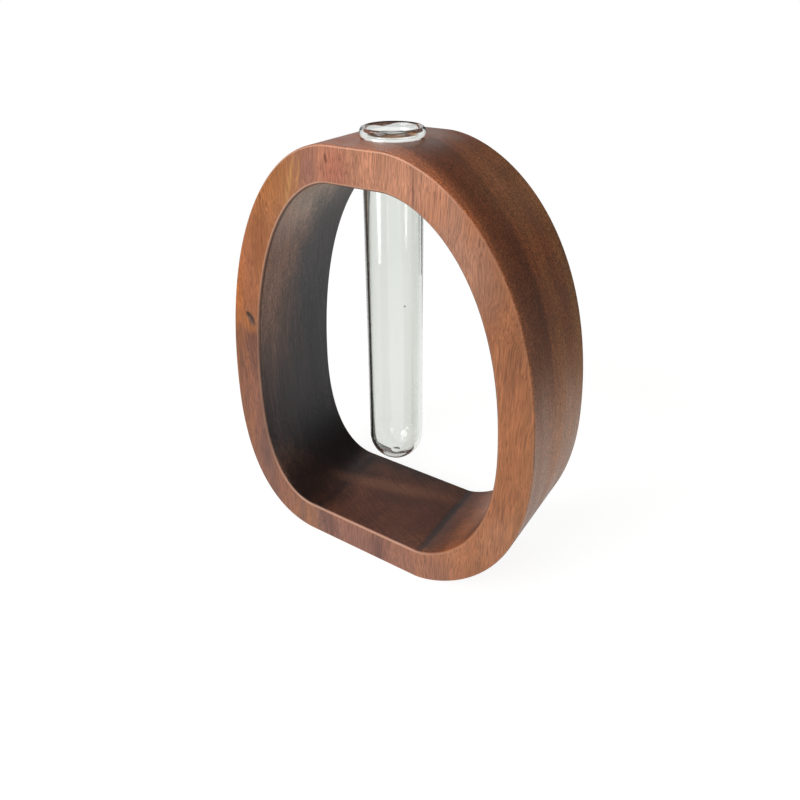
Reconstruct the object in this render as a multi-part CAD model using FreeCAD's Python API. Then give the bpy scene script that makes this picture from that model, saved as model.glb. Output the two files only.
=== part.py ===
import FreeCAD, Part
import math
import os

# Test tube vase: a standing wooden ring with a bore through its top, and one glass
# test tube that hangs in the bore by its beaded rim. Millimetres, +Z up. The origin
# is on the table under the middle of the ring, and the front face looks along -Y.

Vector = FreeCAD.Vector

# The ring, cut from one block of wood
ring_width = 120.0
ring_height = 150.0
ring_depth = 40.0
ring_wall = 12.0
outer_edge_round = 0.8
inner_edge_break = 1.0

# The ring's outline from the front has a flat top, a flat base and two unequal, full
# sides. The flats end at these shares of half the width, left or right of the middle,
# and each side is widest at this share of the height.
top_left_end_share = 0.19
top_right_end_share = 0.115
base_left_end_share = 0.45
base_right_end_share = 0.315
left_side_share = 0.355
right_side_share = 0.41

# Each quarter of the outline follows one cubic curve. Its two handles are shares of
# what the curve spans: sideways at the flat, and upright at the widest point.
top_left_handle_shares = (0.50, 0.64)
top_right_handle_shares = (0.32, 0.78)
base_left_handle_shares = (0.45, 0.78)
base_right_handle_shares = (0.18, 0.81)

# The ring is sawn along tangent arcs that keep this close to those curves.
arc_accuracy = 0.2

# The bore through the top, a little left of the middle of the ring
bore_place_share = -0.022
bore_clearance = 0.2
bore_edge_break = 0.1

# The test tube
tube_diameter = 19.0
glass_thickness = 1.1
round_end_thickness = 1.1
bead_height = 3.2
bead_overhang = 0.7
bead_heel_break = 0.2
lip_inner_break = 0.35
tube_to_floor = 21.4

# How far a cutter runs past the wood, and how near counts as touching
overrun = 1.0
touching = 0.001

half_width = ring_width / 2
half_depth = ring_depth / 2
bore_x = bore_place_share * half_width
tube_radius = tube_diameter / 2
bore_radius = tube_radius + bore_clearance


def front_point(x, z):
    return Vector(x, -half_depth, z)


def quarter_arcs(flat_end, side, level, widest, handle_shares):
    # The arcs of one quarter. They start level, at the end of a flat, and end upright,
    # at the widest point.
    flat_handle = handle_shares[0] * (side - flat_end)
    side_handle = handle_shares[1] * (level - widest)
    curve = Part.BezierCurve()
    curve.setPoles([
        front_point(flat_end, level),
        front_point(flat_end + flat_handle, level),
        front_point(side, widest + side_handle),
        front_point(side, widest),
    ])
    return [arc.toShape() for arc in curve.toBSpline().toBiArcs(arc_accuracy)]


def ring_outline(inset):
    # The outline drawn in by an inset: none for the outside, the wall for the inside.
    right = half_width - inset
    left = -right
    top = ring_height - inset
    base = inset
    top_left = -top_left_end_share * half_width
    top_right = top_right_end_share * half_width
    base_left = -base_left_end_share * half_width
    base_right = base_right_end_share * half_width
    left_widest = left_side_share * ring_height
    right_widest = right_side_share * ring_height
    upper_right = quarter_arcs(top_right, right, top, right_widest, top_right_handle_shares)
    lower_right = quarter_arcs(base_right, right, base, right_widest, base_right_handle_shares)
    lower_left = quarter_arcs(base_left, left, base, left_widest, base_left_handle_shares)
    upper_left = quarter_arcs(top_left, left, top, left_widest, top_left_handle_shares)
    flat_top = Part.makeLine(front_point(top_left, top), front_point(top_right, top))
    flat_base = Part.makeLine(front_point(base_right, base), front_point(base_left, base))
    return Part.Wire([flat_top, *upper_right, *reversed(lower_right),
                      flat_base, *lower_left, *reversed(upper_left)])


def turned_on_bore_axis(edges):
    # A closed half-section in X and Z, measured from the bore's axis, turned full circle.
    face = Part.Face(Part.Wire(edges))
    face.translate(Vector(bore_x, 0, 0))
    return face.revolve(Vector(bore_x, 0, 0), Vector(0, 0, 1), 360)


def bore_cutter():
    # Wider at both mouths by the broken edge, and on past the wood.
    mouth_radius = bore_radius + bore_edge_break + overrun
    ceiling = ring_height - ring_wall
    corners = [
        Vector(0, 0, ceiling - overrun),
        Vector(mouth_radius, 0, ceiling - overrun),
        Vector(bore_radius, 0, ceiling + bore_edge_break),
        Vector(bore_radius, 0, ring_height - bore_edge_break),
        Vector(mouth_radius, 0, ring_height + overrun),
        Vector(0, 0, ring_height + overrun),
    ]
    return turned_on_bore_axis(Part.makePolygon(corners + corners[:1]).Edges)


def runs_across(edge):
    # True for the edges that lie in a front or back plane, not along the depth.
    return edge.BoundBox.YLength < half_depth


def middle_of(edge):
    return edge.valueAt((edge.FirstParameter + edge.LastParameter) / 2)


def wood_frame():
    block = Part.Face(ring_outline(0)).extrude(Vector(0, ring_depth, 0))
    block = block.makeFillet(outer_edge_round, [edge for edge in block.Edges if runs_across(edge)])
    window = Part.Face(ring_outline(ring_wall)).extrude(Vector(0, ring_depth + 2 * overrun, 0))
    window.translate(Vector(0, -overrun, 0))
    ring = block.cut(window)
    window_edges = [edge for edge in ring.Edges
                    if runs_across(edge) and window.isInside(middle_of(edge), touching, True)]
    ring = ring.makeChamfer(inner_edge_break, window_edges)
    return ring.cut(bore_cutter())


def arc_about(centre_x, centre_z, radius, start_degrees, end_degrees):
    def point_at(degrees):
        angle = math.radians(degrees)
        return Vector(centre_x + radius * math.cos(angle), 0, centre_z + radius * math.sin(angle))

    middle_degrees = (start_degrees + end_degrees) / 2
    return Part.Arc(point_at(start_degrees), point_at(middle_degrees), point_at(end_degrees)).toShape()


def test_tube():
    seat = ring_height
    rim = seat + bead_height
    inner_radius = tube_radius - glass_thickness
    bead_radius = tube_radius + bead_overhang
    lip_round = (bead_radius - inner_radius) / 2
    tube_bottom = ring_wall + tube_to_floor
    outer_end = tube_bottom + tube_radius
    inner_end = tube_bottom + round_end_thickness + inner_radius
    rounds = [
        arc_about(0, outer_end, tube_radius, -90, 0),
        arc_about(bead_radius - lip_round, rim - lip_round, lip_round, 0, 90),
        arc_about(0, inner_end, inner_radius, 0, -90),
    ]
    wall_and_heel = Part.makePolygon([
        Vector(tube_radius, 0, outer_end),
        Vector(tube_radius, 0, seat),
        Vector(bead_radius - bead_heel_break, 0, seat),
        Vector(bead_radius, 0, seat + bead_heel_break),
        Vector(bead_radius, 0, rim - lip_round),
    ])
    lip_and_inside = Part.makePolygon([
        Vector(bead_radius - lip_round, 0, rim),
        Vector(inner_radius + lip_inner_break, 0, rim),
        Vector(inner_radius, 0, rim - lip_inner_break),
        Vector(inner_radius, 0, inner_end),
    ])
    end_wall = Part.makeLine(Vector(0, 0, inner_end - inner_radius), Vector(0, 0, tube_bottom))
    return turned_on_bore_axis([rounds[0], *wall_and_heel.Edges, rounds[1],
                                *lip_and_inside.Edges, rounds[2], end_wall])


pieces = {"wood_frame": wood_frame(), "test_tube": test_tube()}

os.makedirs("parts", exist_ok=True)
for name, shape in pieces.items():
    shape.exportStep("parts/" + name + ".step")
    box = shape.optimalBoundingBox()
    print(name, "valid", shape.isValid(), "solids", len(shape.Solids),
          "volume", round(shape.Volume / 1000, 2), "cm3",
          "from", [round(value, 2) for value in (box.XMin, box.YMin, box.ZMin)],
          "to", [round(value, 2) for value in (box.XMax, box.YMax, box.ZMax)])
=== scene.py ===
import bmesh
import bpy
import math
from mathutils import Matrix, Vector


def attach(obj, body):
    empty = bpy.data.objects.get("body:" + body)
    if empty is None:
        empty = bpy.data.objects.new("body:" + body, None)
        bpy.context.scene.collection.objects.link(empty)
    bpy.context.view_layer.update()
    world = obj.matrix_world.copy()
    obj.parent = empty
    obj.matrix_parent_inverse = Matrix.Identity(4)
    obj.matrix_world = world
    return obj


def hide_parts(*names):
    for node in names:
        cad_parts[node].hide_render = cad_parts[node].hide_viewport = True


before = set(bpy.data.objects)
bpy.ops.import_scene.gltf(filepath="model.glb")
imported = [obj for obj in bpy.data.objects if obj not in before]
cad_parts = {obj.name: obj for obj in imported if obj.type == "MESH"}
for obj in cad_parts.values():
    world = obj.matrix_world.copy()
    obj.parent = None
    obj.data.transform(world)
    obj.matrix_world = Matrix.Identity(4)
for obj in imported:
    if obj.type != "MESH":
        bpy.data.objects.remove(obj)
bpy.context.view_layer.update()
scene = bpy.context.scene
mm = 0.001
touching = 1e-6    # m, nearer points are one point
noiseMiddle = 0.5  # a noise swings about this

# The camera, fitted to the ring's outlines in the photograph
cameraSetup = {
    "place": (121.743, -183.569, 191.756),  # mm
    "azimuth": 33.383,
    "elevation": 24.72,
    "roll": -0.511,
    "lens": 32.174,    # mm
    "sensor": 36.0,    # mm wide
    "shiftY": -0.10625,
    "nearest": 0.01,   # m, the nearest that it draws
}


def makeCamera(setup):
    azimuth, elevation, roll = (math.radians(setup[key])
                                for key in ("azimuth", "elevation", "roll"))
    back = Vector((math.sin(azimuth) * math.cos(elevation),
                   -math.cos(azimuth) * math.cos(elevation), math.sin(elevation)))
    level = Vector((math.cos(azimuth), math.sin(azimuth), 0))
    upright = back.cross(level)
    right = math.cos(roll) * level + math.sin(roll) * upright
    up = back.cross(right)
    camera = bpy.data.objects.new("camera", bpy.data.cameras.new("camera"))
    scene.collection.objects.link(camera)
    turned = Matrix((right, up, back)).transposed().to_4x4()
    camera.matrix_world = Matrix.Translation(Vector(setup["place"]) * mm) @ turned
    camera.data.lens = setup["lens"]
    camera.data.sensor_width = setup["sensor"]
    camera.data.shift_y = setup["shiftY"]
    camera.data.clip_start = setup["nearest"]
    bpy.context.scene.camera = camera


makeCamera(cameraSetup)
print("camera is in place")


def linear(hexColour):
    # sRGB hex to the linear values that the shaders take
    channels = [int(hexColour[place:place + 2], 16) / 255 for place in (1, 3, 5)]
    return [c / 12.92 if c <= 0.04045 else ((c + 0.055) / 1.055) ** 2.4 for c in channels] + [1.0]


def addNode(tree, kind, inputs=None, output=None, **settings):
    # One node with its settings and links. An input is a value, or the socket that feeds
    # it. With an output named, that socket comes back, ready for the next node.
    node = tree.nodes.new(kind)
    for key, value in settings.items():
        setattr(node, key, value)
    for key, value in (inputs or {}).items():
        if isinstance(value, bpy.types.NodeSocket):
            tree.links.new(value, node.inputs[key])
        else:
            node.inputs[key].default_value = value
    return node if output is None else node.outputs[output]


def newMaterial(name):
    material = bpy.data.materials.new(name)
    material.use_nodes = True
    material.node_tree.nodes.clear()
    return material, material.node_tree


# Oiled acacia: a brown hardwood, planed and sanded, with a thin satin oil. Growth
# layers show as soft bands, the pores as fine dark lines along the grain, and the end
# grain drinks the oil and goes darker.
woodLook = {
    "heart": (58.0, 120.0, 0.0),   # mm, the heart of the tree, behind the ring
    "layerTones": [                # mm from that heart, tone
        (98, "#7f5d38"), (104, "#875d3a"), (112, "#7c4e34"), (118, "#845636"), (123, "#805034"),
        (126, "#66402c"), (131, "#70462f"), (138, "#7c4f36"), (140.5, "#a0643f"), (144, "#a86d4e"),
        (150, "#a6694b"), (156, "#a3654a"), (160, "#966048"), (164, "#a4683a"), (169, "#a86736"),
        (175, "#a0623b"), (181, "#aa6732"), (187, "#8c5734"),
    ],
    "wanderSize": (24.0, 24.0, 120.0),   # mm, how slowly the layers wander
    "wanderBy": 3.5,                     # mm
    "bendSize": (34.0, 34.0, 38.0),      # mm, how slowly the fibres bend
    "bendBy": (8.0, 8.0, 0.0),           # mm
    "figureSize": (11.0, 11.0, 13.0),    # mm, the swirls where a layer is cut at a slant
    "figureBy": 2.6,                     # mm
    "figureLine": 0.9,                   # mm between its lines
    "figureShade": (0.88, 1.12),
    "streakSize": (0.9, 0.9, 26.0),      # mm
    "streakShade": (0.90, 1.09),
    "fibreSize": (0.27, 0.27, 8.0),      # mm, drawn a little coarse so that it shows
    "fibreShade": (0.75, 1.23),
    "speckSize": (0.45, 0.45, 0.60),     # mm, the sanded sides only
    "speckShade": (0.66, 1.40),
    "poreSize": (0.26, 0.26, 5.5),       # mm, drawn a little coarse so that it shows
    "poreFrom": (0.60, 0.71),            # the share of the noise that is a pore
    "poreTone": "#4b2417",
    "poreDepth": 0.50,
    "cloudSize": (7.0, 7.0, 45.0),       # mm
    "cloudShade": (0.86, 1.13),
    "endGrainTone": "#f6d9c0",
    "wearAndHighlightTone": "#e0a98a",               # painted highlight on the eased edges, partly pale wear
    "wearAndHighlightShare": 0.58,
    "wearAndHighlightFrom": (0.999, 0.94),           # how squarely it faces front where the painted highlight and wear begin
    "wearAndHighlightUntil": (0.45, 0.75),           # and where it ends
    "wearAndHighlightRight": (14.0, 36.0, 0.25),     # mm from the middle, where it fades, to what share
    "wearAndHighlightLeft": (-40.0, -47.5, 0.40),    # the same on the left
    "shadeLineDarkness": 0.65,                   # how dark the painted shade line along the window's edge is
    "shadeLineAbove": (50.0, 95.0),          # mm up, where that begins
    "shadeLineFrom": (0.35, 0.75),           # how near the window's wall it begins
    "shadeLineFacing": (0.02, 0.30),         # how squarely it has to face front
    "shadeLineTone": "#2a1a15",
    "noiseRange": (0.32, 0.68),          # what a noise mostly covers, about its middle
    "raggedShares": {"cloud": 0.8, "streak": 0.5, "fibre": 0.4},  # what frays the marks' edges
    "windowShadeRagged": 0.45,                # the window's painted shade has calmer edges than the marks
    "markFade": (0.8, 0.2),              # how far inside and outside its edge a soft mark fades
    "sideFrom": (0.9, 0.3),              # how squarely it faces front where the sides begin
    "endGrainFrom": (0.05, 0.85),        # how squarely it faces up where the end grain begins
    "grooveDepth": 0.00008,              # m
    "grooveStrength": 0.25,
    "roughness": (0.34, 0.48),           # outside, where the cloth has polished it
    "roughRange": (0.3, 0.7),            # between which values of the clouds
    "windowRoughness": 0.42,
    "windowSpeck": 0.3,                  # how much of the specks the window's wall has
    "ior": 1.5,
    "specular": 0.4,
}

# Marks on the wood. Each is a soft ellipsoid: place and half sizes in mm, its turn in
# degrees, the tone it takes the wood towards, how far, and how soft its edge is. Most
# aren't turned and are soft right through.
markDefaults = {"turn": (0, 0, 0), "soft": 1.0}
woodMarks = {
    "topPink": dict(place=(8, -20, 148), size=(42, 8, 26), tone="#cf9170", how=0.62),
    "rightPeach": dict(place=(34, -20, 122), size=(11, 7, 20),
                       turn=(0, -32, 0), tone="#b08068", how=0.55),
    "topLeft": dict(place=(-38, -20, 127), size=(15, 8, 22),
                    turn=(0, 30, 0), tone="#bd7842", how=0.65),
    "rustySide": dict(place=(-42, -20, 118), size=(10, 8, 15),
                      turn=(0, 28, 0), tone="#965836", how=0.5),
    "amberSide": dict(place=(-55, -20, 102), size=(7.5, 9, 26),
                      turn=(0, 8, 0), tone="#c06c36", how=0.62),
    "pinkInside": dict(place=(-49.2, -20, 94), size=(4.8, 7, 34),
                       turn=(0, 3, 0), tone="#b26f4a", how=0.65),
    "plumPatch": dict(place=(-18.5, -20, 143), size=(4.5, 7, 10),
                      turn=(0, 8, 0), tone="#8a5c50", how=0.6),
    "plumLeft": dict(place=(-52, -20, 48), size=(12, 8, 38),
                     turn=(0, -4, 0), tone="#7a5044", how=0.75),
    "lowLeft": dict(place=(-45, -20, 20), size=(23, 8, 27), tone="#83584a", how=0.74),
    "plumUnderKnot": dict(place=(-51.5, -20, 73), size=(11, 8, 16),
                          turn=(0, -10, 0), tone="#6b463b", how=0.62),
    "knotGlow": dict(place=(-51, -20, 83.0), size=(4.4, 6, 5.0),
                     turn=(0, -24, 0), tone="#b8713a", how=0.6, soft=0.7),
    "knot": dict(place=(-49.6, -20, 84.5), size=(1.8, 4, 3.4),
                 turn=(0, -32, 0), tone="#6f5444", how=0.9, soft=0.6),
    "knotEye": dict(place=(-50.7, -20, 86.2), size=(1.1, 4, 1.3),
                    turn=(0, -35, 0), tone="#3a241c", how=0.9, soft=0.8),
    "knotCrack": dict(place=(-49.0, -20, 84.8), size=(0.8, 4, 2.6),
                      turn=(0, -34, 0), tone="#3f2b24", how=0.9, soft=0.8),
    "fleck": dict(place=(-11.9, -20, 146), size=(0.5, 3, 1.6),
                  turn=(0, -8, 0), tone="#4e2218", how=0.8, soft=0.6),
    "redBlush": dict(place=(-9, -20, 143), size=(6, 6, 9),
                     turn=(0, 10, 0), tone="#a85c4a", how=0.5),
    "orangeStreak": dict(place=(-26.6, -20, 137), size=(1.0, 6, 12),
                         turn=(0, 16, 0), tone="#d39a58", how=0.55),
    "orangeThread": dict(place=(-22.9, -20, 140), size=(0.7, 5, 8),
                         turn=(0, 12, 0), tone="#d09252", how=0.5),
    "greyFoot": dict(place=(-6, -20, 4), size=(42, 10, 18), tone="#8a6a62", how=0.45),
    "paleHeel": dict(place=(50, -20, 32), size=(8, 8, 17),
                     turn=(0, 28, 0), tone="#cc9270", how=0.28),
    "plumBandLeft": dict(place=(-18.5, -20, 4), size=(4.4, 14, 22), tone="#5e3a35", how=0.56),
    "plumBandRight": dict(place=(3.4, -20, 4), size=(5.2, 14, 22), tone="#5e3a35", how=0.56),
    "darkLine": dict(place=(18.6, -20, 139), size=(0.45, 3, 10), tone="#74402f", how=0.6),
    "secondLine": dict(place=(21.2, -20, 138), size=(0.35, 3, 9), tone="#7b4634", how=0.5),
    "oliveBack": dict(place=(48, 21, 108), size=(20, 6, 46),
                      turn=(0, -20, 0), tone="#8c6540", how=0.45),
    "warmCorner": dict(place=(34, 2, 18), size=(13, 34, 13), tone="#bf8058", how=0.75),
    # painted light: the lower right side lighter, where light bounces up from the table
    "bounceLightRight": dict(place=(62, 2, 52), size=(10, 34, 58), tone="#b0764a", how=0.8),
    "greySlope": dict(place=(30, 12, 137), size=(26, 26, 18), tone="#9c7c63", how=0.52),
}

# Painted shade and painted reflection on the window's wall only, darker and greyer towards the back
# and bottom, with two dark lines and a paler band on its floor
windowShadeMarks = {
    # painted shade and painted reflection: the left wall darker and greyer
    "leftWall": dict(place=(-64, 0, 82), size=(60, 80, 92), tone="#8a6a59", how=0.91, soft=0.4),
    # painted reflection: a pale grey sheen high in the window
    "leftTop": dict(place=(-22, 2, 137), size=(34, 42, 29), tone="#c9c2ba", how=0.85),
    # painted shade: dark grey towards the back
    "leftBack": dict(place=(-48, 24, 92), size=(60, 31, 84),
                     turn=(7, 0, 0), tone="#3e4044", how=0.96, soft=0.5),
    # painted reflection: a grey sheen at the back of the window's ceiling
    "topBack": dict(place=(-26, 6, 136), size=(20, 24, 20), tone="#9a9692", how=0.35),
    # painted shade: the window's floor darker under the top
    "floorAll": dict(place=(-12, 0, 10), size=(51, 60, 16), tone="#5c3e34", how=0.92, soft=0.5),
    # painted shade: dark low on the left wall and in the back and front corners
    "leftLow": dict(place=(-50, 2, 38), size=(32, 52, 64), tone="#26262a", how=0.95),
    "backCorner": dict(place=(-37, 11, 22), size=(23, 25, 26), tone="#1b1d23", how=0.92, soft=0.8),
    "lowFront": dict(place=(-33, -14, 14), size=(16, 24, 14), tone="#231818", how=0.85),
    # dark lines where the floor meets its curved corners, and a paler band across it
    "leftFloor": dict(place=(-24, 0, 12), size=(2.2, 40, 4), tone="#1d1718", how=0.5),
    "rightFloor": dict(place=(20.6, 0, 12), size=(2.1, 40, 4), tone="#231d1e", how=0.84),
    "floorBand": dict(place=(-6, 5.5, 12), size=(30, 4.4, 4),
                      turn=(0, 0, 14), tone="#83604e", how=0.65),
    # painted shade: dark along the back edge of the floor
    "backEdge": dict(place=(-8, 22, 12), size=(30, 9, 8), tone="#2c2c2f", how=0.85),
}


def makeOiledWood(look):
    wood, tree = newMaterial("oiledAcacia")
    math2, vector2, noise = "ShaderNodeMath", "ShaderNodeVectorMath", "ShaderNodeTexNoise"
    mix, remap = "ShaderNodeMix", "ShaderNodeMapRange"
    smooth = {"interpolation_type": "SMOOTHSTEP"}
    place = addNode(tree, "ShaderNodeTexCoord", output="Object")
    normal = addNode(tree, "ShaderNodeTexCoord", output="Normal")
    facing = addNode(tree, "ShaderNodeSeparateXYZ", {0: normal}).outputs
    inMm = addNode(tree, vector2, {0: place, 1: (1 / mm,) * 3}, 0, operation="MULTIPLY")

    # The fibres bend slowly, and every pattern along the grain bends with them
    slow = addNode(tree, vector2, {0: inMm, 1: look["bendSize"]}, 0, operation="DIVIDE")
    bend = addNode(tree, noise, {"Vector": slow, "Scale": 1.0, "Detail": 2.0}, 1)
    bend = addNode(tree, vector2, {0: bend, 1: (noiseMiddle,) * 3}, 0, operation="SUBTRACT")
    bent = addNode(tree, vector2, {0: bend, 1: look["bendBy"], 2: inMm}, 0,
                   operation="MULTIPLY_ADD")
    details = {"wander": 2.0, "figure": 2.0, "streak": 2.0, "fibre": 3.0, "speck": 1.0,
               "pore": 1.0, "cloud": 3.0}
    patterns = {}
    for name, detail in details.items():
        scaled = addNode(tree, vector2, {0: bent, 1: look[name + "Size"]}, 0, operation="DIVIDE")
        patterns[name] = addNode(tree, noise, {"Vector": scaled, "Scale": 1.0, "Detail": detail}, 0)

    # Growth layers: rings about an upright axis far behind, which wander along the grain
    flat = addNode(tree, vector2, {0: inMm, 1: (1, 1, 0)}, 0, operation="MULTIPLY")
    reach = addNode(tree, vector2, {0: flat, 1: look["heart"]}, 1, operation="DISTANCE")
    layer = addNode(tree, math2, {0: patterns["wander"], 1: 2 * look["wanderBy"], 2: reach}, 0,
                    operation="MULTIPLY_ADD")
    first, last = (look["layerTones"][end][0] + look["wanderBy"] for end in (0, -1))
    outward = addNode(tree, remap, {0: layer, 1: first, 2: last}, 0)
    tones = addNode(tree, "ShaderNodeValToRGB", {0: outward})
    ramp = tones.color_ramp
    ramp.interpolation = "EASE"
    for index, (reached, tone) in enumerate(look["layerTones"]):
        position = (reached + look["wanderBy"] - first) / (last - first)
        stop = ramp.elements[index] if index < 2 else ramp.elements.new(position)
        stop.position = position
        stop.color = linear(tone)
    colour = tones.outputs[0]

    # Fine lines inside each layer, which swirl where it is cut at a slant
    swirl = addNode(tree, math2, {0: patterns["figure"], 1: 2 * look["figureBy"], 2: reach}, 0,
                    operation="MULTIPLY_ADD")
    swirl = addNode(tree, math2, {0: swirl, 1: look["figureLine"]}, 0, operation="DIVIDE")
    patterns["figure"] = addNode(tree, noise, {"W": swirl, "Scale": 1.0, "Detail": 1.0}, 0,
                                 noise_dimensions="1D")

    # Marks, and painted shade and painted reflection on the window's wall, with edges that follow
    # clouds, streaks and fibres
    onWindow = addNode(tree, "ShaderNodeAttribute", output="Fac", attribute_name="windowWall")
    ragged = -noiseMiddle * sum(look["raggedShares"].values())
    for name, share in look["raggedShares"].items():
        ragged = addNode(tree, math2, {0: patterns[name], 1: share, 2: ragged}, 0,
                         operation="MULTIPLY_ADD")
    inside, outside = look["markFade"]
    for marks, raggedness in ((woodMarks, 1.0), (windowShadeMarks, look["windowShadeRagged"])):
        for mark in ({**markDefaults, **values} for values in marks.values()):
            local = addNode(tree, "ShaderNodeMapping", {
                "Vector": inMm, "Location": mark["place"], "Scale": mark["size"],
                "Rotation": [math.radians(turn) for turn in mark["turn"]]}, 0,
                vector_type="TEXTURE")
            away = addNode(tree, vector2, {0: local}, 1, operation="LENGTH")
            away = addNode(tree, math2, {0: ragged, 1: raggedness, 2: away}, 0,
                           operation="MULTIPLY_ADD")
            mask = addNode(tree, remap, {0: away, 1: 1 - inside * mark["soft"],
                                         2: 1 + outside * mark["soft"], 3: mark["how"], 4: 0.0}, 0,
                           **smooth)
            if marks is windowShadeMarks:
                mask = addNode(tree, math2, {0: mask, 1: onWindow}, 0, operation="MULTIPLY")
            colour = addNode(tree, mix, {0: mask, 6: colour, 7: linear(mark["tone"])}, 2,
                             data_type="RGBA")

    # Lighter and darker along the grain. The specks show on the sanded sides, not in front.
    frontFacing = addNode(tree, math2, {0: facing[1]}, 0, operation="ABSOLUTE")
    sideFrom, sideFull = look["sideFrom"]
    onSide = addNode(tree, remap, {0: frontFacing, 1: sideFrom, 2: sideFull}, 0, **smooth)
    speckShare = addNode(tree, remap, {0: onWindow, 3: onSide, 4: look["windowSpeck"]}, 0)
    shares = {"figure": onSide, "streak": 1.0, "fibre": 1.0, "speck": speckShare, "cloud": 1.0}
    low, high = look["noiseRange"]
    for name, share in shares.items():
        dark, light = look[name + "Shade"]
        shade = addNode(tree, remap, {0: patterns[name], 1: low, 2: high, 3: dark, 4: light}, 0,
                        **smooth)
        colour = addNode(tree, mix, {0: share, 6: colour, 7: shade}, 2, data_type="RGBA",
                         blend_type="MULTIPLY")

    # End grain is darker, and the pores are dark: dashes on a side, dots on the end grain
    endFacing = addNode(tree, math2, {0: facing[2]}, 0, operation="ABSOLUTE")
    low, high = look["endGrainFrom"]
    endGrain = addNode(tree, remap, {0: endFacing, 1: low, 2: high}, 0, **smooth)
    colour = addNode(tree, mix, {0: endGrain, 6: colour, 7: linear(look["endGrainTone"])}, 2,
                     data_type="RGBA", blend_type="MULTIPLY")
    low, high = look["poreFrom"]
    pore = addNode(tree, remap, {0: patterns["pore"], 1: low, 2: high, 4: look["poreDepth"]}, 0,
                   **smooth)
    colour = addNode(tree, mix, {0: pore, 6: colour, 7: linear(look["poreTone"])}, 2,
                     data_type="RGBA")

    # The eased edges get a painted highlight, partly pale wear, and a thin line of painted shade
    # runs along the window's front edge
    across, _, height = addNode(tree, "ShaderNodeSeparateXYZ", {0: inMm}).outputs
    low, high = look["wearAndHighlightUntil"]
    wearAndHighlight = addNode(tree, remap, {0: frontFacing, 1: low, 2: high, 4: look["wearAndHighlightShare"]}, 0, **smooth)
    low, high = look["wearAndHighlightFrom"]
    masks = [addNode(tree, remap, {0: frontFacing, 1: low, 2: high}, 0, **smooth)]
    for side in ("wearAndHighlightRight", "wearAndHighlightLeft"):
        fadeFrom, fadeTo, left = look[side]
        masks.append(addNode(tree, remap, {0: across, 1: fadeFrom, 2: fadeTo, 3: 1.0, 4: left}, 0))
    for mask in masks:
        wearAndHighlight = addNode(tree, math2, {0: wearAndHighlight, 1: mask}, 0, operation="MULTIPLY")
    colour = addNode(tree, mix, {0: wearAndHighlight, 6: colour, 7: linear(look["wearAndHighlightTone"])}, 2,
                     data_type="RGBA")
    # Painted shade: a thin dark line where the window's wall turns to the front, fading in from 50
    # to 95 mm up
    low, high = look["shadeLineFrom"]
    paintedShadeLine = addNode(tree, remap, {0: onWindow, 1: low, 2: high, 4: look["shadeLineDarkness"]}, 0, **smooth)
    low, high = look["shadeLineFacing"]
    masks = [addNode(tree, remap, {0: frontFacing, 1: low, 2: high}, 0, **smooth)]
    low, high = look["shadeLineAbove"]
    masks.append(addNode(tree, remap, {0: height, 1: low, 2: high}, 0))
    for mask in masks:
        paintedShadeLine = addNode(tree, math2, {0: paintedShadeLine, 1: mask}, 0, operation="MULTIPLY")
    colour = addNode(tree, mix, {0: paintedShadeLine, 6: colour, 7: linear(look["shadeLineTone"])}, 2,
                     data_type="RGBA")

    # Open pores are felt as fine grooves
    solid = addNode(tree, math2, {0: 1.0, 1: pore}, 0, operation="SUBTRACT")
    groove = addNode(tree, "ShaderNodeBump", {
        "Height": solid, "Strength": look["grooveStrength"], "Distance": look["grooveDepth"]}, 0)
    low, high = look["roughRange"]
    polished, matt = look["roughness"]
    rough = addNode(tree, remap, {0: patterns["cloud"], 1: low, 2: high, 3: polished, 4: matt}, 0)
    rough = addNode(tree, mix, {0: onWindow, 2: rough, 3: look["windowRoughness"]}, 0)
    shader = addNode(tree, "ShaderNodeBsdfPrincipled", {
        "Base Color": colour, "Roughness": rough, "IOR": look["ior"],
        "Specular IOR Level": look["specular"], "Normal": groove}, 0)
    addNode(tree, "ShaderNodeOutputMaterial", {"Surface": shader})
    return wood


# Clear borosilicate glass, drawn and fire polished: smooth and clear in the middle of the wall.
# Its edges get a darker tint by facing, partly the longer path through the glass, partly painted
# shade for dark surroundings.
glassLook = {
    "tint": "#f0f2ef", "edgeShadeTint": "#e9ebe7",
    "edgeFrom": (0.12, 0.45),   # how far round the wall the edge tint begins and ends
    "shadowTint": "#eef1ee", "ior": 1.47,
}


def makeClearGlass(look):
    glass, tree = newMaterial("clearBorosilicate")
    # Darker tint where the glass turns away: partly the longer path through it, partly painted
    # shade
    edge = addNode(tree, "ShaderNodeLayerWeight", {"Blend": 0.5}, "Facing")
    low, high = look["edgeFrom"]
    edge = addNode(tree, "ShaderNodeMapRange", {0: edge, 1: low, 2: high}, 0,
                   interpolation_type="SMOOTHSTEP")
    middle, rim = linear(look["tint"]), linear(look["edgeShadeTint"])
    tint = addNode(tree, "ShaderNodeMix", {0: edge, 6: middle, 7: rim}, 2, data_type="RGBA")
    clear = addNode(tree, "ShaderNodeBsdfPrincipled", {
        "Base Color": tint, "Roughness": 0.0, "IOR": look["ior"], "Transmission Weight": 1.0}, 0)
    lit = addNode(tree, "ShaderNodeBsdfTransparent", {"Color": linear(look["shadowTint"])}, 0)
    isShadow = addNode(tree, "ShaderNodeLightPath", output="Is Shadow Ray")
    shown = addNode(tree, "ShaderNodeMixShader", {0: isShadow, 1: clear, 2: lit}, 0)
    addNode(tree, "ShaderNodeOutputMaterial", {"Surface": shown})
    return glass


oiledWood = makeOiledWood(woodLook)
clearGlass = makeClearGlass(glassLook)
print("materials are ready")

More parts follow.
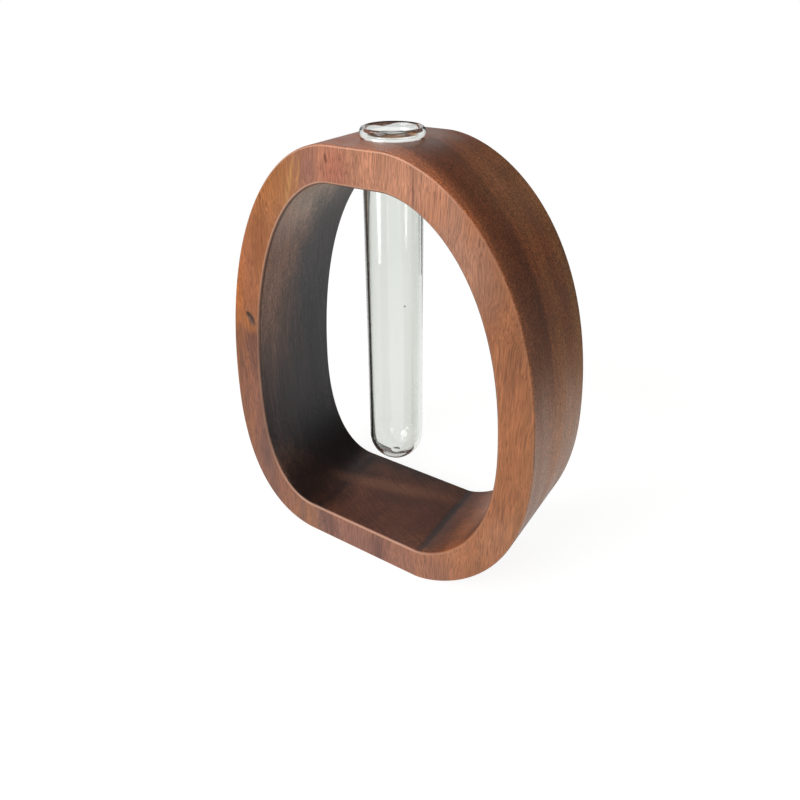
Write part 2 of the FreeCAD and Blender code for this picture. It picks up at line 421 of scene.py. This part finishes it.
# The wooden ring, in mm, and shares of half the width or of the height
ringShape = {
    "width": 120.0, "height": 150.0, "depth": 40.0, "wall": 12.0,
    "topEndShares": (-0.19, 0.115),     # where the flat top ends, left and right
    "baseEndShares": (-0.45, 0.315),
    "sideShares": (0.355, 0.41),        # how high each side is widest
    "topLeftShares": (0.50, 0.64),      # the two handles of each quarter
    "topRightShares": (0.32, 0.78),
    "baseLeftShares": (0.45, 0.78),
    "baseRightShares": (0.18, 0.81),
    "outerRound": 0.8, "innerRound": 1.2, "roundSteps": 6, "quarterSteps": 48,
    "boreX": -1.32, "boreRadius": 9.7, "boreSteps": 96,
    "sharpDegrees": 40,                 # a bend over this is a sharp edge
}


def outlineCurve(name, shape, inset):
    # Six knots round the ring, from the left end of the flat top, each with its two handles
    half = shape["width"] / 2
    right, left = half - inset, inset - half
    top, base = shape["height"] - inset, inset
    topLeft, topRight = (share * half for share in shape["topEndShares"])
    baseLeft, baseRight = (share * half for share in shape["baseEndShares"])
    leftZ, rightZ = (share * shape["height"] for share in shape["sideShares"])
    topThird, baseThird = (topRight - topLeft) / 3, (baseRight - baseLeft) / 3

    def flatHandle(end, side, quarter):
        return end + shape[quarter][0] * (side - end)

    def sideHandle(level, widest, quarter):
        return widest + shape[quarter][1] * (level - widest)

    knots = [
        ((topLeft, top),
         (flatHandle(topLeft, left, "topLeftShares"), top), (topLeft + topThird, top)),
        ((topRight, top),
         (topRight - topThird, top), (flatHandle(topRight, right, "topRightShares"), top)),
        ((right, rightZ),
         (right, sideHandle(top, rightZ, "topRightShares")),
         (right, sideHandle(base, rightZ, "baseRightShares"))),
        ((baseRight, base),
         (flatHandle(baseRight, right, "baseRightShares"), base), (baseRight - baseThird, base)),
        ((baseLeft, base),
         (baseLeft + baseThird, base), (flatHandle(baseLeft, left, "baseLeftShares"), base)),
        ((left, leftZ),
         (left, sideHandle(base, leftZ, "baseLeftShares")),
         (left, sideHandle(top, leftZ, "topLeftShares"))),
    ]
    curve = bpy.data.curves.new(name, "CURVE")
    curve.dimensions = "3D"
    curve.resolution_u = shape["quarterSteps"]
    spline = curve.splines.new("BEZIER")
    spline.bezier_points.add(len(knots) - 1)
    spline.use_cyclic_u = True
    for point, places in zip(spline.bezier_points, knots):
        point.handle_left_type = point.handle_right_type = "FREE"
        knotAndHandles = [Vector((x, 0, z)) * mm for x, z in places]
        point.co, point.handle_left, point.handle_right = knotAndHandles
    outline = bpy.data.objects.new(name, curve)
    scene.collection.objects.link(outline)
    return outline


def ringTree():
    # A round-cornered section swept between the inner and the outer outline, then bored
    tree = bpy.data.node_groups.new("sweptRing", "GeometryNodeTree")
    tree.interface.new_socket("Geometry", in_out="OUTPUT", socket_type="NodeSocketGeometry")
    for name, kind in (("Outer Outline", "Object"), ("Inner Outline", "Object"), ("Wall", "Float"),
                       ("Depth", "Float"), ("Height", "Float"), ("Outer Round", "Float"),
                       ("Inner Round", "Float"), ("Round Steps", "Int"), ("Bore Radius", "Float"),
                       ("Bore X", "Float"), ("Bore Steps", "Int"), ("Sharp Angle", "Float"),
                       ("Wood", "Material")):
        tree.interface.new_socket(name, in_out="INPUT", socket_type="NodeSocket" + kind)
    given = addNode(tree, "NodeGroupInput").outputs
    math2, toPoints = "ShaderNodeMath", "GeometryNodeCurveToPoints"
    index = addNode(tree, "GeometryNodeInputIndex", output=0)
    position = addNode(tree, "GeometryNodeInputPosition", output=0)

    # The section: through the wall in X, through the depth in Y, each corner rounded
    section = addNode(tree, "GeometryNodeCurvePrimitiveQuadrilateral",
                      {0: given["Wall"], 1: given["Depth"]}, 0)
    fromMiddle = addNode(tree, "ShaderNodeSeparateXYZ", {0: position}, 0)
    isOuter = addNode(tree, math2, {0: fromMiddle, 1: 0.0}, 0, operation="GREATER_THAN")
    roundBy = addNode(tree, "ShaderNodeMix",
                      {0: isOuter, 2: given["Inner Round"], 3: given["Outer Round"]}, 0)
    section = addNode(tree, "GeometryNodeFilletCurve",
                      {0: section, 1: given["Round Steps"], 2: roundBy}, 0, mode="POLY")
    sectionPoints = addNode(tree, toPoints, {0: section}, 0, mode="EVALUATED")
    outlines = [addNode(tree, "GeometryNodeObjectInfo", {0: given[key]}, "Geometry")
                for key in ("Outer Outline", "Inner Outline")]
    outerPoints, innerPoints = (addNode(tree, toPoints, {0: curve}, 0, mode="EVALUATED")
                                for curve in outlines)
    steps, sectionSteps = (
        addNode(tree, "GeometryNodeAttributeDomainSize", {0: points}, 0, component="POINTCLOUD")
        for points in (outerPoints, sectionPoints))
    around, across = (addNode(tree, math2, {0: count, 1: 1.0}, 0, operation="ADD")
                      for count in (steps, sectionSteps))
    grid = addNode(tree, "GeometryNodeMeshGrid", {"Vertices X": around, "Vertices Y": across}, 0)

    # Each vertex of a plain grid finds its step round the ring and its step round the section
    stepRound = addNode(tree, math2, {0: index, 1: across}, 0, operation="DIVIDE")
    stepRound = addNode(tree, math2, {0: stepRound}, 0, operation="FLOOR")
    stepRound = addNode(tree, math2, {0: stepRound, 1: steps}, 0, operation="MODULO")
    stepAcross = addNode(tree, math2, {0: index, 1: across}, 0, operation="MODULO")
    stepAcross = addNode(tree, math2, {0: stepAcross, 1: sectionSteps}, 0, operation="MODULO")
    onSection, inner, outer = (
        addNode(tree, "GeometryNodeSampleIndex", {0: points, 1: position, 2: step}, 0,
                data_type="FLOAT_VECTOR")
        for points, step in ((sectionPoints, stepAcross), (innerPoints, stepRound),
                             (outerPoints, stepRound)))
    through, deep, _ = addNode(tree, "ShaderNodeSeparateXYZ", {0: onSection}).outputs
    share = addNode(tree, math2, {0: through, 1: given["Wall"]}, 0, operation="DIVIDE")
    share = addNode(tree, math2, {0: share, 1: 0.5}, 0, operation="ADD")
    place = addNode(tree, "ShaderNodeMix", {0: share, 4: inner, 5: outer}, 1, data_type="VECTOR")
    depthOnly = addNode(tree, "ShaderNodeCombineXYZ", {1: deep}, 0)
    place = addNode(tree, "ShaderNodeVectorMath", {0: place, 1: depthOnly}, 0, operation="ADD")
    ring = addNode(tree, "GeometryNodeSetPosition", {"Geometry": grid, "Position": place}, 0)
    ring = addNode(tree, "GeometryNodeMergeByDistance", {0: ring, "Distance": touching}, 0)

    # The bore runs right through the wall at the top. The drill is half as long again.
    drillShare = 1.5
    drillLength = addNode(tree, math2, {0: given["Wall"], 1: drillShare}, 0, operation="MULTIPLY")
    drill = addNode(tree, "GeometryNodeMeshCylinder", {
        "Vertices": given["Bore Steps"], "Radius": given["Bore Radius"], "Depth": drillLength}, 0)
    drillZ = addNode(tree, math2, {0: given["Wall"], 1: -0.5, 2: given["Height"]}, 0,
                     operation="MULTIPLY_ADD")
    drillPlace = addNode(tree, "ShaderNodeCombineXYZ", {0: given["Bore X"], 2: drillZ}, 0)
    drill = addNode(tree, "GeometryNodeTransform", {0: drill, "Translation": drillPlace}, 0)
    ring = addNode(tree, "GeometryNodeMeshBoolean", {0: ring, 1: drill}, 0,
                   operation="DIFFERENCE", solver="EXACT")

    # Which part is the window's wall: near the inner outline, seen from the front
    rim = addNode(tree, "GeometryNodeCurveToMesh", {0: outlines[1]}, 0)
    seenFlat = addNode(tree, "ShaderNodeVectorMath", {0: position, 1: (1, 0, 1)}, 0,
                       operation="MULTIPLY")
    fromRim = addNode(tree, "GeometryNodeProximity", {0: rim, "Source Position": seenFlat},
                      "Distance", target_element="EDGES")
    onWall = addNode(tree, "ShaderNodeMapRange",
                     {0: fromRim, 1: 0.0, 2: given["Inner Round"], 3: 1.0, 4: 0.0}, 0)
    ring = addNode(tree, "GeometryNodeStoreNamedAttribute",
                   {0: ring, "Name": "windowWall", "Value": onWall}, 0, domain="POINT")

    # Smooth all over, but sharp where the bore breaks through
    angle = addNode(tree, "GeometryNodeInputMeshEdgeAngle", output=0)
    isSharp = addNode(tree, math2, {0: angle, 1: given["Sharp Angle"]}, 0, operation="GREATER_THAN")
    ring = addNode(tree, "GeometryNodeSetShadeSmooth", {0: ring, 2: True}, 0, domain="FACE")
    ring = addNode(tree, "GeometryNodeSetShadeSmooth", {0: ring, 1: isSharp, 2: False}, 0,
                   domain="EDGE")
    ring = addNode(tree, "GeometryNodeRealizeInstances", {0: ring}, 0)
    ring = addNode(tree, "GeometryNodeSetMaterial", {0: ring, "Material": given["Wood"]}, 0)
    addNode(tree, "NodeGroupOutput", {0: ring})
    return tree


def makeRing(shape, wood):
    carrier = bpy.data.objects.new("ringCarrier", bpy.data.meshes.new("ringCarrier"))
    scene.collection.objects.link(carrier)
    outlines = [outlineCurve("outerOutline", shape, 0),
                outlineCurve("innerOutline", shape, shape["wall"])]
    sweep = carrier.modifiers.new("sweptRing", "NODES")
    sweep.node_group = ringTree()
    values = {
        "Outer Outline": outlines[0], "Inner Outline": outlines[1], "Wood": wood,
        "Wall": shape["wall"] * mm, "Depth": shape["depth"] * mm, "Height": shape["height"] * mm,
        "Outer Round": shape["outerRound"] * mm, "Inner Round": shape["innerRound"] * mm,
        "Bore Radius": shape["boreRadius"] * mm, "Bore X": shape["boreX"] * mm,
        "Round Steps": shape["roundSteps"], "Bore Steps": shape["boreSteps"],
        "Sharp Angle": math.radians(shape["sharpDegrees"]),
    }
    for socket in sweep.node_group.interface.items_tree:
        if socket.in_out == "INPUT":
            sweep[socket.identifier] = values[socket.name]
    even = carrier.modifiers.new("evenShading", "WEIGHTED_NORMAL")
    even.keep_sharp = True
    finished = carrier.evaluated_get(bpy.context.evaluated_depsgraph_get())
    mesh = bpy.data.meshes.new_from_object(finished)
    mesh.name = "acaciaRing"
    ring = bpy.data.objects.new("acaciaRing", mesh)
    scene.collection.objects.link(ring)
    for helper in (carrier, *outlines):
        bpy.data.objects.remove(helper)
    return ring


woodRing = makeRing(ringShape, oiledWood)
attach(woodRing, "ring")
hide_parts("wood_frame")
print("ring:", len(woodRing.data.polygons), "faces")

# The test tube, mm. Its rim is a rolled, fire-polished bead that rests on the flat top.
tubeShape = {
    "axisX": -1.32, "radius": 9.5, "glass": 1.1, "endGlass": 1.1,
    "bottom": 33.4, "seat": 150.0, "top": 153.2,
    "beadRadius": 10.2, "beadInward": 0.4,  # the rolled rim swells outward, and a little inward
    "dimple": 0.35, "dimpleRadius": 1.6,    # the drop left in the end where it was closed
    "seedTurn": 54.6, "seedHeight": 97.0, "seedRadius": 0.32,  # a small bubble in the wall
    "turnSteps": 128, "endSteps": 24, "beadSteps": 28, "wallSteps": 6,
}


def tubeProfile(shape):
    # Radius and height, from the outside of the round end over the rim to its inside
    outer, inner = shape["radius"], shape["radius"] - shape["glass"]
    outerEnd = shape["bottom"] + outer
    innerEnd = shape["bottom"] + shape["endGlass"] + inner
    beadWide = (shape["beadRadius"] - inner + shape["beadInward"]) / 2
    beadX = shape["beadRadius"] - beadWide
    beadHigh = (shape["top"] - shape["seat"]) / 2
    beadZ = shape["seat"] + beadHigh
    quarter = math.pi / 2
    heel = -math.acos((outer - beadX) / beadWide)
    lipEnd = 4 * quarter - math.acos((inner - beadX) / beadWide)

    def along(steps, start, end):
        return [start + (end - start) * step / steps for step in range(steps + 1)]

    points = [(outer * math.cos(a), outerEnd + outer * math.sin(a))
              for a in along(shape["endSteps"], -quarter, 0)]
    neck = shape["seat"] - beadWide
    points += [(outer, z) for z in along(shape["wallSteps"], outerEnd, neck)[1:]]
    points += [(beadX + beadWide * math.cos(a), beadZ + beadHigh * math.sin(a))
               for a in along(shape["beadSteps"], heel, lipEnd)]
    points += [(inner, z) for z in along(shape["wallSteps"], neck, innerEnd)]
    for a in along(shape["endSteps"], 0, -quarter)[1:]:
        r = inner * math.cos(a)
        sink = shape["dimple"] * math.exp(-(r / shape["dimpleRadius"]) ** 2)
        points.append((r, innerEnd + inner * math.sin(a) + sink))
    return points


def makeTube(shape, glass):
    build = bmesh.new()
    line = [build.verts.new(Vector((max(r, 0), 0, z)) * mm) for r, z in tubeProfile(shape)]
    edges = [build.edges.new(pair) for pair in zip(line, line[1:])]
    bmesh.ops.spin(build, geom=line + edges, axis=(0, 0, 1), cent=(0, 0, 0), angle=2 * math.pi,
                   steps=shape["turnSteps"])
    bmesh.ops.remove_doubles(build, verts=build.verts, dist=touching)
    bmesh.ops.recalc_face_normals(build, faces=build.faces)
    turn = math.radians(shape["seedTurn"])
    deep = shape["radius"] - shape["glass"] / 2
    seedPlace = Vector((deep * math.sin(turn), -deep * math.cos(turn), shape["seedHeight"])) * mm
    seed = bmesh.ops.create_icosphere(build, subdivisions=2, radius=shape["seedRadius"] * mm,
                                      matrix=Matrix.Translation(seedPlace))
    seedFaces = {face for vert in seed["verts"] for face in vert.link_faces}
    bmesh.ops.reverse_faces(build, faces=list(seedFaces))
    bmesh.ops.translate(build, verts=build.verts, vec=(shape["axisX"] * mm, 0, 0))
    for face in build.faces:
        face.smooth = True
    mesh = bpy.data.meshes.new("glassTube")
    build.to_mesh(mesh)
    build.free()
    mesh.materials.append(glass)
    tube = bpy.data.objects.new("glassTube", mesh)
    scene.collection.objects.link(tube)
    return tube


glassTube = makeTube(tubeShape, clearGlass)
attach(glassTube, "tube")
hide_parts("test_tube")
print("tube:", len(glassTube.data.polygons), "faces")

# The studio: a white sweep of floor, soft light from the front, and a plain grey room
studio = {
    "floorHalf": 4.0,          # m
    "floorColour": "#e9e8e6",
    "shadeShare": 0.30,        # how much of its own shade the floor shows near the ring
    "white": 1.25,             # the rest, so that the unshaded floor is just white
    "whiteFrom": (0.16, 0.34),  # m from the middle, where that shade ends
    "tableGloss": (0.90, 0.16),  # how bright the polish sees the table, near and far
    "tableFrom": (0.14, 0.26),  # m
    "roomTone": 0.34,          # what the room gives to matt surfaces
    "glossTone": 0.08,         # what polished surfaces see of it
}
# Lamps: place and size in m, power in W
lamps = {
    "frontKey": dict(place=(-0.35, -1.20, 0.85), size=0.9, power=12.6),
    "rightFill": dict(place=(1.10, -0.55, 0.60), size=0.7, power=2.8),
}
# Cards that show in reflections, and some through the glass too: place of the middle,
# width and height in m, how wide the foot is as a share of the head, and strength. The
# edge flag is a dark one.
cards = {
    "backCard": dict(place=(-0.64, 0.79, 0.45), wide=0.8, high=0.6, foot=1.0, strength=0.82,
                     throughGlass=False),
    "glassCard": dict(place=(-0.103, -0.217, 0.050), wide=0.080, high=0.052, foot=0.35,
                      strength=6.6, throughGlass=True),
    "slitCard": dict(place=(0.041, -0.236, 0.060), wide=0.007, high=0.050, foot=0.4,
                     strength=5.5, throughGlass=True),
    "edgeFlag": dict(place=(-0.005, 0.105, 0.080), wide=0.026, high=0.030, foot=0.5,
                     strength=0.0, throughGlass=True),
    "rimCard": dict(place=(-0.25, -0.30, 0.60), wide=0.50, high=0.35, foot=1.0, strength=4.0,
                    throughGlass=True),
}
# Glowing white slips that lie flat and show through the glass only, painted light seen through the
# glass where the wood would show: place, width and depth in m
slips = {
    "footSlip": dict(place=(-0.004, 0.0005, 0.0135), wide=0.024, deep=0.015, strength=0.80),
    "rimSlip": dict(place=(-0.012, 0.0155, 0.1504), wide=0.030, deep=0.009, strength=0.78),
    "rimSideSlip": dict(place=(-0.0195, 0.002, 0.1504), wide=0.014, deep=0.018, strength=0.78),
}


def makeStage(name, corners, material):
    mesh = bpy.data.meshes.new(name)
    mesh.from_pydata(corners, [], [(0, 1, 2, 3)])
    mesh.materials.append(material)
    piece = bpy.data.objects.new(name, mesh)
    scene.collection.objects.link(piece)
    return piece


def makeFloor(look):
    # White to the camera and through glass, but near the ring it keeps the ring's shade
    material, tree = newMaterial("paperSweep")
    remap, math2 = "ShaderNodeMapRange", "ShaderNodeMath"
    place = addNode(tree, "ShaderNodeTexCoord", output="Object")
    away = addNode(tree, "ShaderNodeVectorMath", {0: place}, 1, operation="LENGTH")
    nearWhite, farWhite = look["whiteFrom"]
    shade = addNode(tree, remap, {0: away, 1: nearWhite, 2: farWhite,
                                  3: look["shadeShare"], 4: 0.0}, 0,
                    interpolation_type="SMOOTHSTEP")
    rays = addNode(tree, "ShaderNodeLightPath").outputs
    seen = addNode(tree, math2, {0: rays["Is Camera Ray"], 1: rays["Is Transmission Ray"]}, 0,
                   operation="MAXIMUM")
    unseen = addNode(tree, math2, {0: 1.0, 1: seen}, 0, operation="SUBTRACT")
    own = addNode(tree, math2, {0: unseen, 1: shade}, 0, operation="MAXIMUM")
    strength = addNode(tree, remap, {0: shade, 2: look["shadeShare"], 3: 1.0, 4: look["white"]}, 0)
    white = addNode(tree, "ShaderNodeEmission", {"Strength": strength}, 0)
    paper = addNode(tree, "ShaderNodeBsdfDiffuse", {"Color": linear(look["floorColour"])}, 0)
    shown = addNode(tree, "ShaderNodeMixShader", {0: own, 1: white, 2: paper}, 0)
    nearTable, farTable = look["tableFrom"]
    nearGloss, farGloss = look["tableGloss"]
    polished = addNode(tree, remap, {0: away, 1: nearTable, 2: farTable,
                                     3: nearGloss, 4: farGloss}, 0,
                       interpolation_type="SMOOTHSTEP")
    mirrored = addNode(tree, "ShaderNodeEmission", {"Strength": polished}, 0)
    mirror = addNode(tree, math2, {0: rays["Is Glossy Ray"], 1: unseen}, 0, operation="MULTIPLY")
    shown = addNode(tree, "ShaderNodeMixShader", {0: mirror, 1: shown, 2: mirrored}, 0)
    addNode(tree, "ShaderNodeOutputMaterial", {"Surface": shown})
    half = look["floorHalf"]
    corners = [(-half, -half, 0), (half, -half, 0), (half, half, 0), (-half, half, 0)]
    makeStage("studioFloor", corners, material)


def makeGlow(name, strength):
    material, tree = newMaterial(name)
    glow = addNode(tree, "ShaderNodeEmission", {"Strength": strength}, 0)
    addNode(tree, "ShaderNodeOutputMaterial", {"Surface": glow})
    return material


def makeCard(name, place, wide, high, foot, strength, throughGlass):
    middle = Vector(place)
    sideways = Vector((-middle.y, middle.x, 0)).normalized() * (wide / 2)
    upward = Vector((0, 0, high / 2))
    card = makeStage(name, [middle - foot * sideways - upward, middle + foot * sideways - upward,
                            middle + sideways + upward, middle - sideways + upward],
                     makeGlow(name, strength))
    card.visible_camera = card.visible_diffuse = card.visible_shadow = False
    card.visible_transmission = throughGlass


def makeSlip(name, place, wide, deep, strength):
    middle = Vector(place)
    corners = [middle + Vector((x * wide / 2, y * deep / 2, 0))
               for x, y in ((-1, -1), (1, -1), (1, 1), (-1, 1))]
    # A glowing slip: painted light, seen only through the glass
    slip = makeStage(name, corners, makeGlow(name, strength))
    slip.visible_camera = slip.visible_diffuse = slip.visible_glossy = False
    slip.visible_shadow = False


def makeRoom(look):
    world = bpy.data.worlds.new("plainRoom")
    world.use_nodes = True
    tree = world.node_tree
    tree.nodes.clear()
    rays = addNode(tree, "ShaderNodeLightPath").outputs
    seen = addNode(tree, "ShaderNodeMath",
                   {0: rays["Is Camera Ray"], 1: rays["Is Transmission Ray"]}, 0,
                   operation="MAXIMUM")
    tone = addNode(tree, "ShaderNodeMix",
                   {0: rays["Is Glossy Ray"], 2: look["roomTone"], 3: look["glossTone"]}, 0)
    strength = addNode(tree, "ShaderNodeMix", {0: seen, 2: tone, 3: 1.0}, 0)
    room = addNode(tree, "ShaderNodeBackground", {"Color": (1, 1, 1, 1), "Strength": strength}, 0)
    addNode(tree, "ShaderNodeOutputWorld", {"Surface": room})
    scene.world = world


def makeLamp(name, place, size, power):
    lamp = bpy.data.lights.new(name, "AREA")
    lamp.shape = "DISK"
    lamp.size = size
    lamp.energy = power
    holder = bpy.data.objects.new(name, lamp)
    holder.location = place
    aim = Vector((0, 0, ringShape["height"] * mm / 2)) - Vector(place)
    holder.rotation_euler = aim.to_track_quat("-Z", "Y").to_euler()
    scene.collection.objects.link(holder)


makeFloor(studio)
makeRoom(studio)
for lampName, lampValues in lamps.items():
    makeLamp(lampName, **lampValues)
for cardName, cardValues in cards.items():
    makeCard(cardName, **cardValues)
for slipName, slipValues in slips.items():
    makeSlip(slipName, **slipValues)
scene.view_settings.view_transform = "Standard"
print("studio is lit")
